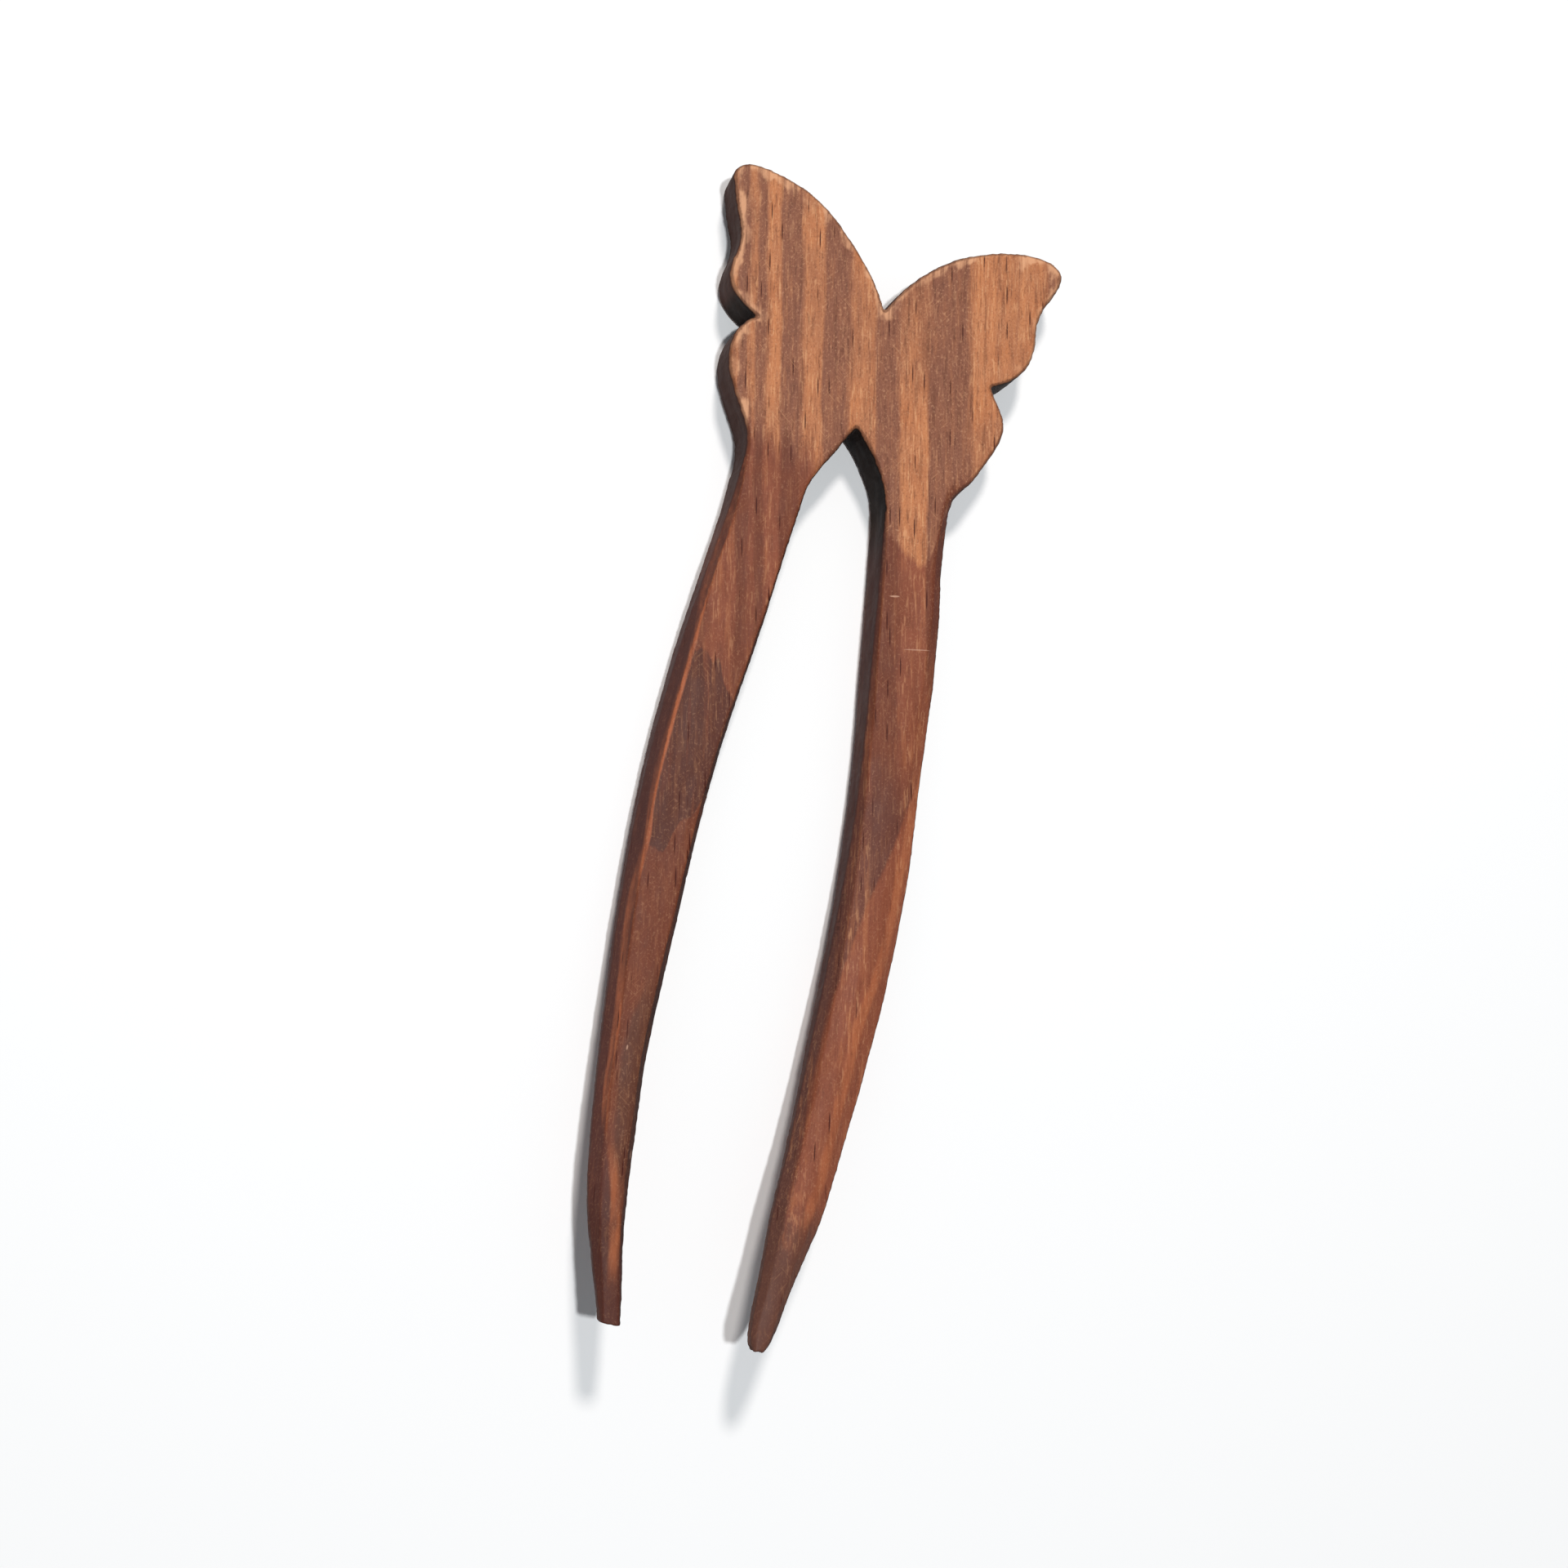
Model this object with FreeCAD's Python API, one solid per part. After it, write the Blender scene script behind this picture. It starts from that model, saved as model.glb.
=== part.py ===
"""Two-pronged wooden hair fork with a butterfly head, carved from one board. Millimetres.

The fork lies on its back on a table: +Y runs from the prong tips to the wings, +X to the right and +Z up.
The real fork is one continuous piece of wood. It is written as three solids that meet face to face at
the saw line ROOT_Y: the flat butterfly head, and the two prongs, whose ends curl up off the table.
The outline is drawn with y = 0 at the prong tips and x = 0 on the butterfly's own axis. The finished
solids are then moved so that the origin is at the middle of the underside of their common box.
"""

import FreeCAD, Part
import math
import os

# Driving dimensions
BOARD = 9.0  # thickness of the head and of the prong roots
BROKEN_EDGE = 0.4  # narrow bevel along the head's front and back edges
ROOT_ROUNDING = 0.6  # corner rounding of a prong where it leaves the head
ROOT_Y = 124.0  # where the prongs are divided from the head
CURL_START_Y = 90.0  # the underside is flat above this and curls up below it
CURL_RADIUS = 320.0  # radius of the underside's curl, seen from the side
PRONG_RELIEF = 0.05  # how far the prongs' underside is sanded in from the head's
TIP_THICKNESS = 3.6
ALMOST_ZERO = 0.001  # a difference in height or place smaller than this counts as none

# The head's outline: each side's upper wing and lower wing meet in a sharp nick
TOP_NOTCH = (0.7, 154.0)
CROTCH = (0.0, 135.3)
LEFT_NICK = (-18.0, 147.9)
RIGHT_NICK = (19.4, 147.0)
LEFT_ROOT = (-15.9, -5.6)  # outer and inner x of the left prong at ROOT_Y
RIGHT_ROOT = (16.9, 6.9)

LEFT_UPPER_WING = [
    (-1.4, 157.6), (-6.0, 162.8), (-10.5, 166.7), (-14.7, 169.0), (-18.5, 170.1), (-22.2, 170.7),
    (-24.6, 170.3), (-25.9, 169.0), (-25.7, 167.0), (-24.6, 163.6), (-23.3, 160.2), (-23.2, 157.0),
    (-23.6, 154.2), (-22.8, 151.4), (-20.6, 149.2),
]  # fmt: skip
LEFT_LOWER_WING = [
    (-19.7, 146.7), (-20.9, 144.6), (-21.3, 142.0), (-20.9, 139.6), (-19.6, 136.6), (-17.7, 133.3),
    (-16.2, 130.4), (-15.7, 127.4),
]  # fmt: skip
LEFT_SHOULDER = [(-1.8, 132.0), (-3.5, 128.9), (-4.8, 126.4)]

RIGHT_UPPER_WING = [
    (2.3, 156.9), (5.1, 160.6), (8.3, 163.6), (11.5, 165.7), (15.1, 167.3), (18.7, 168.4), (22.3, 168.9),
    (25.1, 168.5), (27.0, 167.1), (27.0, 165.2), (26.0, 162.8), (25.0, 160.4), (24.7, 157.8),
    (25.0, 155.0), (24.5, 151.7), (22.7, 149.1),
]  # fmt: skip
RIGHT_LOWER_WING = [
    (20.6, 144.9), (22.1, 142.7), (22.6, 140.6), (22.1, 138.1), (20.7, 134.8), (18.8, 131.0),
    (17.2, 128.5), (16.8, 126.2),
]  # fmt: skip
RIGHT_SHOULDER = [(1.0, 134.4), (2.8, 132.4), (4.5, 130.0), (5.8, 127.7), (6.5, 125.8)]

# Each prong's stations, from the root to the tip: y, outer x, inner x, outer rounding, inner rounding
LEFT_PRONG = [
    (ROOT_Y, *LEFT_ROOT, ROOT_ROUNDING, ROOT_ROUNDING),
    (118.0, -16.4, -6.2, 0.8, 0.8),
    (110.0, -17.4, -7.0, 1.1, 1.1),
    (98.0, -18.8, -8.3, 1.3, 1.4),
    (84.0, -19.8, -10.0, 1.6, 1.7),
    (70.0, -20.0, -10.9, 1.9, 1.9),
    (56.0, -19.6, -11.3, 2.2, 2.0),
    (42.0, -18.9, -11.8, 2.3, 2.0),
    (28.0, -17.8, -11.6, 2.1, 1.8),
    (15.0, -16.1, -10.9, 1.7, 1.4),
    (6.0, -13.8, -9.8, 1.2, 1.1),
    (0.0, -12.1, -9.1, 0.9, 0.8),
]
RIGHT_PRONG = [
    (ROOT_Y, *RIGHT_ROOT, ROOT_ROUNDING, ROOT_ROUNDING),
    (117.0, 17.7, 7.8, 1.8, 0.9),
    (98.0, 19.9, 10.0, 2.5, 1.1),
    (84.0, 20.9, 11.5, 2.5, 1.3),
    (70.0, 21.8, 12.2, 2.5, 1.6),
    (56.0, 21.7, 12.2, 2.4, 1.9),
    (42.0, 20.6, 11.7, 2.3, 2.0),
    (28.0, 18.8, 11.0, 2.1, 1.9),
    (15.0, 16.3, 10.1, 1.7, 1.6),
    (6.0, 13.8, 9.6, 1.2, 1.2),
    (1.5, 12.4, 9.6, 0.9, 0.9),
    (0.0, 11.5, 10.0, 0.6, 0.6),
]


def underside(y):
    """Height of the underside above the table at a distance y from the tips."""
    into_curl = max(0.0, CURL_START_Y - y)
    return CURL_RADIUS - math.sqrt(CURL_RADIUS**2 - into_curl**2)


def thickness(y):
    """Thickness of a prong: the full board at the root, thinning smoothly to the tip."""
    share = min(1.0, max(0.0, y / ROOT_Y))
    eased = math.sin(share * math.pi / 2)
    return TIP_THICKNESS + (BOARD - TIP_THICKNESS) * eased


def curve(points):
    """One smooth edge through points of the flat outline."""
    spline = Part.BSplineCurve()
    spline.interpolate([FreeCAD.Vector(x, y, 0) for x, y in points])
    return spline.toShape()


def line(start, end):
    return Part.LineSegment(FreeCAD.Vector(*start, 0), FreeCAD.Vector(*end, 0)).toShape()


def corner(centre_x, centre_z, y, radius, start_angle):
    """A quarter round of a prong's section, in the plane at y, anticlockwise from start_angle degrees."""
    points = []
    for step in (0, 45, 90):
        angle = math.radians(start_angle + step)
        across, up = radius * math.cos(angle), radius * math.sin(angle)
        points.append(FreeCAD.Vector(centre_x + across, y, centre_z + up))
    return Part.Arc(*points)


def section(y, x_a, x_b, round_a, round_b):
    """A prong's rounded section at y. x_a and x_b are its two sides, each with its own rounding."""
    low, high = underside(y) + PRONG_RELIEF, underside(y) + thickness(y)
    left, right, round_left, round_right = (
        (x_a, x_b, round_a, round_b) if x_a < x_b else (x_b, x_a, round_b, round_a)
    )
    arcs = [
        corner(right - round_right, high - round_right, y, round_right, 0),
        corner(left + round_left, high - round_left, y, round_left, 90),
        corner(left + round_left, low + round_left, y, round_left, 180),
        corner(right - round_right, low + round_right, y, round_right, 270),
    ]
    edges = []
    for arc, following in zip(arcs, arcs[1:] + arcs[:1]):
        edges += [arc.toShape(), Part.LineSegment(arc.EndPoint, following.StartPoint).toShape()]
    return Part.Wire(edges)


def prong(stations):
    """A prong, lofted smoothly through its sections."""
    return Part.makeLoft([section(*station) for station in stations], True, False)


def butterfly_head():
    """The flat butterfly, down to the two prong roots, with its front and back edges broken."""
    left_outer, left_inner = [(x, ROOT_Y) for x in LEFT_ROOT]
    right_outer, right_inner = [(x, ROOT_Y) for x in RIGHT_ROOT]
    outline = Part.Wire(
        [
            curve([TOP_NOTCH, *LEFT_UPPER_WING, LEFT_NICK]),
            curve([LEFT_NICK, *LEFT_LOWER_WING, left_outer]),
            line(left_outer, left_inner),
            curve([left_inner, *reversed(LEFT_SHOULDER), CROTCH]),
            curve([CROTCH, *RIGHT_SHOULDER, right_inner]),
            line(right_inner, right_outer),
            curve([right_outer, *reversed(RIGHT_LOWER_WING), RIGHT_NICK]),
            curve([RIGHT_NICK, *reversed(RIGHT_UPPER_WING), TOP_NOTCH]),
        ]
    )
    plate = Part.Face(outline).extrude(FreeCAD.Vector(0, 0, BOARD))
    carved = [edge for edge in plate.Edges if is_carved(edge)]
    return plate.makeChamfer(BROKEN_EDGE, carved).Solids[0]


def is_carved(edge):
    """True for an edge of the front or back face, apart from those on the two saw lines."""
    box = edge.BoundBox
    on_face = box.ZLength < ALMOST_ZERO
    on_saw_line = box.YMax < ROOT_Y + ALMOST_ZERO
    return on_face and not on_saw_line


def tight_box(solids):
    """The common box of the solids' real surfaces, which is tighter than the box of their splines' poles."""
    return Part.makeCompound(list(solids.values())).optimalBoundingBox(False, False)


def centred(solids):
    """The solids, moved so that the origin is at the middle of the underside of their common box."""
    box = tight_box(solids)
    shift = FreeCAD.Vector(-box.Center.x, -box.Center.y, -box.ZMin)
    return {name: solid.translated(shift) for name, solid in solids.items()}, shift


def main():
    os.makedirs("parts", exist_ok=True)
    solids, shift = centred(
        {
            "butterfly_head": butterfly_head(),
            "left_prong": prong(LEFT_PRONG),
            "right_prong": prong(RIGHT_PRONG),
        }
    )
    volume = sum(solid.Volume for solid in solids.values())
    balance = sum((s.CenterOfMass * s.Volume for s in solids.values()), FreeCAD.Vector()) / volume
    for name, solid in solids.items():
        solid.exportStep(f"parts/{name}.step")
        print(name, solid.ShapeType, "valid", solid.isValid(), "volume mm3", round(solid.Volume, 1))
    box = tight_box(solids)
    print("box mm", round(box.XLength, 2), round(box.YLength, 2), round(box.ZLength, 2), "shift", shift)
    print("centre of mass", balance, "flat underside starts at y", CURL_START_Y + shift.y)


main()
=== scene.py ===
"""Looks for the two-pronged wooden hair fork with a butterfly head.

One continuous piece of stained softwood stands for the three CAD nodes: the butterfly head comes from its
node, and each prong is carved anew, with flat knife facets, along the CAD prong it replaces. Marks on the
fork are placed in the drawing's frame, in millimetres: x = 0 on the butterfly's axis, y = 0 at the prong
tips and z = 0 on the table. Blender's own units are metres, in the part's frame.
"""
import math

import bmesh
import bpy
import numpy as np
from mathutils import Matrix, Vector
from mathutils.bvhtree import BVHTree
from mathutils.kdtree import KDTree


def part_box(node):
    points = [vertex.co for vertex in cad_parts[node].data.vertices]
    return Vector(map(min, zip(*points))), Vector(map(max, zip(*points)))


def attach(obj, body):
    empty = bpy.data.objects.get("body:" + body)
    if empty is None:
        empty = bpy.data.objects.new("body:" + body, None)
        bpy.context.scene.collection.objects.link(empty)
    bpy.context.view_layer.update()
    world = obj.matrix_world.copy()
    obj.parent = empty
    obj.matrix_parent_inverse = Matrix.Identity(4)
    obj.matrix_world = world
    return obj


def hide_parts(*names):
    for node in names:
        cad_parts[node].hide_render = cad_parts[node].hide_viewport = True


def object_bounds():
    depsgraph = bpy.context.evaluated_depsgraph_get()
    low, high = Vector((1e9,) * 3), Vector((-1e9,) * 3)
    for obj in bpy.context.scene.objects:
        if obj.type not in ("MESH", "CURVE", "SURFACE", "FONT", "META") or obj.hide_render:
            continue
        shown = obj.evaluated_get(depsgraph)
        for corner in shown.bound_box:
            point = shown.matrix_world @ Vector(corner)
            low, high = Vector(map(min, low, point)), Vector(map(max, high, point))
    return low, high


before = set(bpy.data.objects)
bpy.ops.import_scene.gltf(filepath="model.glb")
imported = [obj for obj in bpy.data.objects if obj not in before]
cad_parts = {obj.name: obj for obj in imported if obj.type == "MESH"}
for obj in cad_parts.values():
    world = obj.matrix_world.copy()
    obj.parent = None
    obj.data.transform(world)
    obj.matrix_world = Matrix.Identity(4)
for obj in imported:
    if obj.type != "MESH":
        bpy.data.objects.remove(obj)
cad_low, cad_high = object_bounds()

MM = 0.001
BUTTERFLY_AXIS_X = -0.585 * MM  # the butterfly's axis is this far from the part's origin
DRAWING_ORIGIN = Vector((BUTTERFLY_AXIS_X, cad_low.y, 0.0))
ROOT_Y = (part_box("butterfly_head")[0].y - cad_low.y) / MM
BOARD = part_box("butterfly_head")[1].z / MM

# The mesh
VOXEL = 0.22  # mm
STATION_STEP = 1.0  # mm between a prong's sections
FIRST_STATION = 0.02  # mm in from the tip's end face
LAST_STATION = 0.05  # mm in from the root's end face
ROOT_MARGIN = 0.3  # mm from the root's end face where the evenly spaced sections stop
ROOT_OVERLAP = 1.0  # mm that a prong's loft runs on into the head
CROWN_POINTS = 5  # points across the crowned top of a prong's section
SOFTENING = 0.5  # how far each round moves a vertex towards the middle of its neighbours
SOFTEN_ROUNDS = 3
TRIANGLES = 190_000
ARRIS_UPRIGHT = (0.45, 0.90)  # a normal's upward share on an arris: 0 on a wall, 1 on the front and back

# Knife facets by distance from the tips, in mm: y, outer arris inset and drop, inner arris inset and drop,
# fall of the crowned top, and chamfer of the underside
LEFT_FACETS = [
    (0, 0.4, 0.6, 0.4, 0.5, 0.0, 0.5),
    (6, 0.9, 1.2, 0.6, 0.8, 0.1, 0.9),
    (20, 1.5, 2.2, 0.9, 1.2, 0.3, 1.3),
    (45, 1.9, 2.9, 1.1, 1.5, 0.3, 1.6),
    (75, 1.6, 3.2, 0.8, 1.1, 0.2, 1.3),
    (98, 1.4, 3.0, 0.6, 0.8, 0.1, 1.0),
    (114, 1.0, 2.0, 0.5, 0.6, 0.0, 0.7),
    (130, 0.4, 0.4, 0.4, 0.4, 0.0, 0.4),
]
RIGHT_FACETS = [
    (0, 0.4, 0.5, 0.4, 0.5, 0.0, 0.5),
    (5, 0.9, 0.9, 0.8, 0.9, 0.1, 0.9),
    (15, 1.6, 1.3, 1.3, 1.5, 0.3, 1.2),
    (35, 2.3, 1.5, 1.8, 2.0, 0.4, 1.5),
    (60, 2.4, 1.5, 1.5, 1.9, 0.4, 1.5),
    (85, 2.2, 1.4, 0.9, 1.3, 0.3, 1.2),
    (105, 1.8, 1.4, 0.7, 0.9, 0.1, 0.9),
    (120, 1.3, 1.3, 0.5, 0.6, 0.0, 0.6),
    (130, 1.1, 1.1, 0.4, 0.4, 0.0, 0.4),
]

# The knife facet at each of the butterfly's waists: a point on it in mm, and the way it faces
RIGHT_WAIST = ((15.7, 128.0, BOARD), (0.70, 0.0, 0.72))
LEFT_WAIST = ((-15.2, 127.0, BOARD), (-0.80, 0.0, 0.60))
WAIST_RUN = 14.0  # mm that these facets run on down the prongs, fading out

WING_UNDERCUT = 0.3  # mm that the left wing's outer wall leans in at the table

# Uneven faces: bumps to a mm along x, y and z, seed, height in mm on the prongs, and how much lower they
# are on the head
FACE_WAVES = [
    ((0.30, 0.11, 0.30), 3, 0.10, 0.05),
    ((0.85, 0.30, 0.85), 5, 0.045, 0.025),
]
RASP_BUMPS = (1.9, 1.9, 0.7)  # bumps to a mm
RASP_SEED = 7
SAW_BUMPS = (1.3, 1.3, 0.12)
SAW_SEED = 11
TOOL_MARK = 0.05  # mm that rasp and saw marks stand up on the walls

# Chips in mm: centre, reach along x, y and z, and depth
CHIPS = [
    ((-11.5, 23.3, 12.6), (0.7, 1.3, 0.9), 0.25),
    ((9.9, 0.1, 14.5), (0.7, 0.7, 1.6), 0.55),
    ((10.9, -0.1, 15.6), (0.45, 0.6, 1.2), 0.40),
    ((11.6, 0.4, 13.2), (0.5, 0.6, 1.3), 0.35),
    ((10.9, 111.6, 8.9), (0.8, 0.25, 0.6), 0.14),
    ((-22.9, 152.0, 8.9), (1.2, 2.0, 0.8), 0.12),
]

# For value_noise: how many random values there are, and the primes that scatter the cells among them
NOISE_VALUES = 4096
CELL_PRIMES = (73856093, 19349663, 83492791)


def smooth_step(low, high, value):
    """0 where value is under low, 1 where it is over high, and smooth between."""
    share = np.clip((value - low) / (high - low), 0.0, 1.0)
    return share * share * (3.0 - 2.0 * share)


def value_noise(points, seed):
    """Smooth random values from -1 to 1 over points in space, with cells one unit wide."""
    table = np.random.default_rng(seed).uniform(-1.0, 1.0, NOISE_VALUES)
    cell = np.floor(points).astype(np.int64)
    share = points - cell
    share = share * share * (3.0 - 2.0 * share)
    total = np.zeros(len(points))
    for corner in np.ndindex(2, 2, 2):
        place = cell + corner
        key = np.bitwise_xor.reduce(place * CELL_PRIMES, axis=1)
        weight = np.prod(np.where(corner, share, 1.0 - share), axis=1)
        total += weight * table[key % NOISE_VALUES]
    return total


# ---------------------------------------------------------------- the fork's mesh


def node_tree(node):
    """A CAD node's surface, ready for probing."""
    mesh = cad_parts[node].data
    corners = [vertex.co.copy() for vertex in mesh.vertices]
    return BVHTree.FromPolygons(corners, [list(polygon.vertices) for polygon in mesh.polygons])


def distance_out(tree, start, direction):
    """How far a CAD node's surface is from a point inside it, in metres."""
    return tree.ray_cast(Vector(start), Vector(direction))[3]


def section_extents(tree, y, guess):
    """Lowest and highest x and z of a prong at y, all in metres. guess is a point inside the section."""
    x, z = guess
    for _ in range(3):
        left = x - distance_out(tree, (x, y, z), (-1, 0, 0))
        right = x + distance_out(tree, (x, y, z), (1, 0, 0))
        x = (left + right) / 2
        low = z - distance_out(tree, (x, y, z), (0, 0, -1))
        high = z + distance_out(tree, (x, y, z), (0, 0, 1))
        z = (low + high) / 2
    return left, right, low, high


def facet_section(outer, inner, low, high, cuts):
    """The corners (x, z) of a knife-carved section, from the outer top arris round by the crowned top."""
    outer_in, outer_drop, inner_in, inner_drop, crown, under = cuts
    inward = math.copysign(1.0, inner - outer)
    width = abs(inner - outer)
    corners = []
    for step in range(CROWN_POINTS):
        share = step / (CROWN_POINTS - 1)
        across = outer_in + (width - outer_in - inner_in) * share
        corners.append((across, high - crown * (2 * share - 1) ** 2))
    corners += [
        (width, high - crown - inner_drop),
        (width, low + under),
        (width - under, low),
        (under, low),
        (0.0, low + under),
        (0.0, high - crown - outer_drop),
    ]
    return [(outer + inward * across, z) for across, z in corners]


def tip_centre(node, y):
    """The middle (x, z) of a prong's end at y, in metres."""
    near = [vertex.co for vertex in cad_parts[node].data.vertices if vertex.co.y < y + 0.5 * MM]
    xs = [point.x for point in near]
    zs = [point.z for point in near]
    return (min(xs) + max(xs)) / 2, (min(zs) + max(zs)) / 2


def carved_prong(name, node, facets):
    """A prong lofted through faceted sections, in the part's frame in metres."""
    tree = node_tree(node)
    low_corner, high_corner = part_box(node)
    length = (high_corner.y - low_corner.y) / MM
    table = np.array(facets, float)
    is_left = high_corner.x < 0
    mesh = bmesh.new()
    rings = []
    between = np.arange(STATION_STEP, length - ROOT_MARGIN, STATION_STEP)
    stations = [FIRST_STATION, *between.tolist(), length - LAST_STATION]
    guess = tip_centre(node, low_corner.y + FIRST_STATION * MM)
    for y in stations:
        where = low_corner.y + y * MM
        left, right, low, high = section_extents(tree, where, guess)
        guess = ((left + right) / 2, (low + high) / 2)
        outer, inner = (left, right) if is_left else (right, left)
        cuts = [float(np.interp(y, table[:, 0], table[:, column])) * MM for column in range(1, 7)]
        corners = facet_section(outer, inner, low, high, cuts)
        rings.append([mesh.verts.new((x, where, z)) for x, z in corners])
    # One more section runs straight on into the head, so that the two bodies overlap.
    rings.append([mesh.verts.new(vertex.co + Vector((0, ROOT_OVERLAP * MM, 0))) for vertex in rings[-1]])
    for ring, following in zip(rings, rings[1:]):
        for index in range(len(ring)):
            after = (index + 1) % len(ring)
            mesh.faces.new((ring[index], ring[after], following[after], following[index]))
    mesh.faces.new(rings[0][::-1])
    mesh.faces.new(rings[-1])
    bmesh.ops.recalc_face_normals(mesh, faces=mesh.faces)
    data = bpy.data.meshes.new(name)
    mesh.to_mesh(data)
    mesh.free()
    return data


def apply_modifiers(piece):
    """Replaces a piece's mesh by what its modifiers make of it."""
    depsgraph = bpy.context.evaluated_depsgraph_get()
    made = bpy.data.meshes.new_from_object(piece.evaluated_get(depsgraph))
    piece.modifiers.clear()
    piece.data = made


def joined_blank():
    """The head and both carved prongs as one closed, evenly meshed piece."""
    blank = bmesh.new()
    blank.from_mesh(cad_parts["butterfly_head"].data)
    for name, node, facets in (
        ("left_blank", "left_prong", LEFT_FACETS),
        ("right_blank", "right_prong", RIGHT_FACETS),
    ):
        blank.from_mesh(carved_prong(name, node, facets))
    data = bpy.data.meshes.new("hair_fork")
    blank.to_mesh(data)
    blank.free()
    fork = bpy.data.objects.new("hair_fork", data)
    bpy.context.scene.collection.objects.link(fork)
    remesh = fork.modifiers.new("even", "REMESH")
    remesh.mode = "VOXEL"
    remesh.voxel_size = VOXEL * MM
    soften = fork.modifiers.new("soften", "SMOOTH")
    soften.factor = SOFTENING
    soften.iterations = SOFTEN_ROUNDS
    apply_modifiers(fork)
    return fork


def vertex_arrays(mesh):
    """Vertex places in the drawing's frame in mm, and unit normals."""
    count = len(mesh.vertices)
    places = np.empty(count * 3, np.float32)
    mesh.vertices.foreach_get("co", places)
    normals = np.empty(count * 3, np.float32)
    mesh.vertices.foreach_get("normal", normals)
    places = (places.reshape(-1, 3).astype(float) - np.array(DRAWING_ORIGIN)) / MM
    return places, normals.reshape(-1, 3).astype(float)


def store_places(mesh, places):
    """Moves a mesh's vertices to places given in the drawing's frame in mm."""
    metres = places * MM + np.array(DRAWING_ORIGIN)
    mesh.vertices.foreach_set("co", metres.astype(np.float32).ravel())
    mesh.update()


def pare(places, plane, mask):
    """A flat knife cut: what stands proud of the plane comes down to it, as far as the mask allows."""
    point, normal = plane
    normal = np.array(normal) / np.linalg.norm(normal)
    proud = np.clip((places - np.array(point)) @ normal, 0.0, None)
    return places - (proud * mask)[:, None] * normal


def hand_carving(fork):
    """Facets at the waists, a leaning wing wall, uneven faces, rasp and saw marks, and chips."""
    places, normals = vertex_arrays(fork.data)
    x, y, z = places.T

    # The knife facets that start at the butterfly's waists and run on down the prongs' outer edges
    fading_down = smooth_step(ROOT_Y - WAIST_RUN, ROOT_Y, y)
    below_right_wing = 1.0 - smooth_step(125.5, 132.0, y)
    places = pare(places, RIGHT_WAIST, below_right_wing * smooth_step(13.0, 13.5, x) * fading_down)
    below_left_wing = 1.0 - smooth_step(125.0, 131.0, y)
    places = pare(places, LEFT_WAIST, below_left_wing * smooth_step(12.5, 13.0, -x) * fading_down)

    # The left wing's outer wall leans in under the front
    left_wing_edge = smooth_step(155.0, 162.0, y) * smooth_step(19.0, 22.0, -x)
    lean = WING_UNDERCUT * np.clip(1.0 - z / BOARD, 0.0, 1.0) * left_wing_edge
    places[:, :2] -= normals[:, :2] * lean[:, None]

    # Uneven faces, rasp marks on every wall and saw marks on the head's
    head = smooth_step(ROOT_Y - 4, ROOT_Y + 6, y)
    wall = 1.0 - smooth_step(0.35, 0.75, np.abs(normals[:, 2]))
    height = np.zeros(len(places))
    for bumps, seed, on_prongs, less_on_head in FACE_WAVES:
        height += value_noise(places * bumps, seed) * (on_prongs - less_on_head * head)
    height += value_noise(places * RASP_BUMPS, RASP_SEED) * TOOL_MARK * wall
    height += value_noise(places * SAW_BUMPS, SAW_SEED) * TOOL_MARK * wall * head
    places = places + normals * height[:, None]

    for centre, reach, depth in CHIPS:
        away = np.linalg.norm((places - np.array(centre)) / np.array(reach), axis=1)
        bite = (1.0 - smooth_step(0.55, 1.0, away)) * depth
        places = places - normals * bite[:, None]

    # Nothing goes below the table
    places[:, 2] = np.clip(places[:, 2], 0.0, None)
    store_places(fork.data, places)


def thin_out(fork):
    """Fewer triangles where the surface is flat."""
    fork.data.calc_loop_triangles()
    thin = fork.modifiers.new("thin", "DECIMATE")
    thin.ratio = TRIANGLES / len(fork.data.loop_triangles)
    apply_modifiers(fork)


def mark_arrises(mesh):
    """Stores each vertex's distance in mm to the nearest arris of the front or back, for the worn edges
    with their painted highlight and the dark arris line.
    """
    places, normals = vertex_arrays(mesh)
    upright = np.abs(normals[:, 2])
    arrises = np.flatnonzero((upright > ARRIS_UPRIGHT[0]) & (upright < ARRIS_UPRIGHT[1]))
    tree = KDTree(len(arrises))
    for index, vertex in enumerate(arrises):
        tree.insert(places[vertex], index)
    tree.balance()
    distances = [tree.find(place)[2] for place in places]
    attribute = mesh.attributes.new("arris_mm", "FLOAT", "POINT")
    attribute.data.foreach_set("value", np.array(distances, np.float32))


def make_fork():
    fork = joined_blank()
    hand_carving(fork)
    thin_out(fork)
    mark_arrises(fork.data)
    for polygon in fork.data.polygons:
        polygon.use_smooth = True
    return fork


# ---------------------------------------------------------------- nodes


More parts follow.
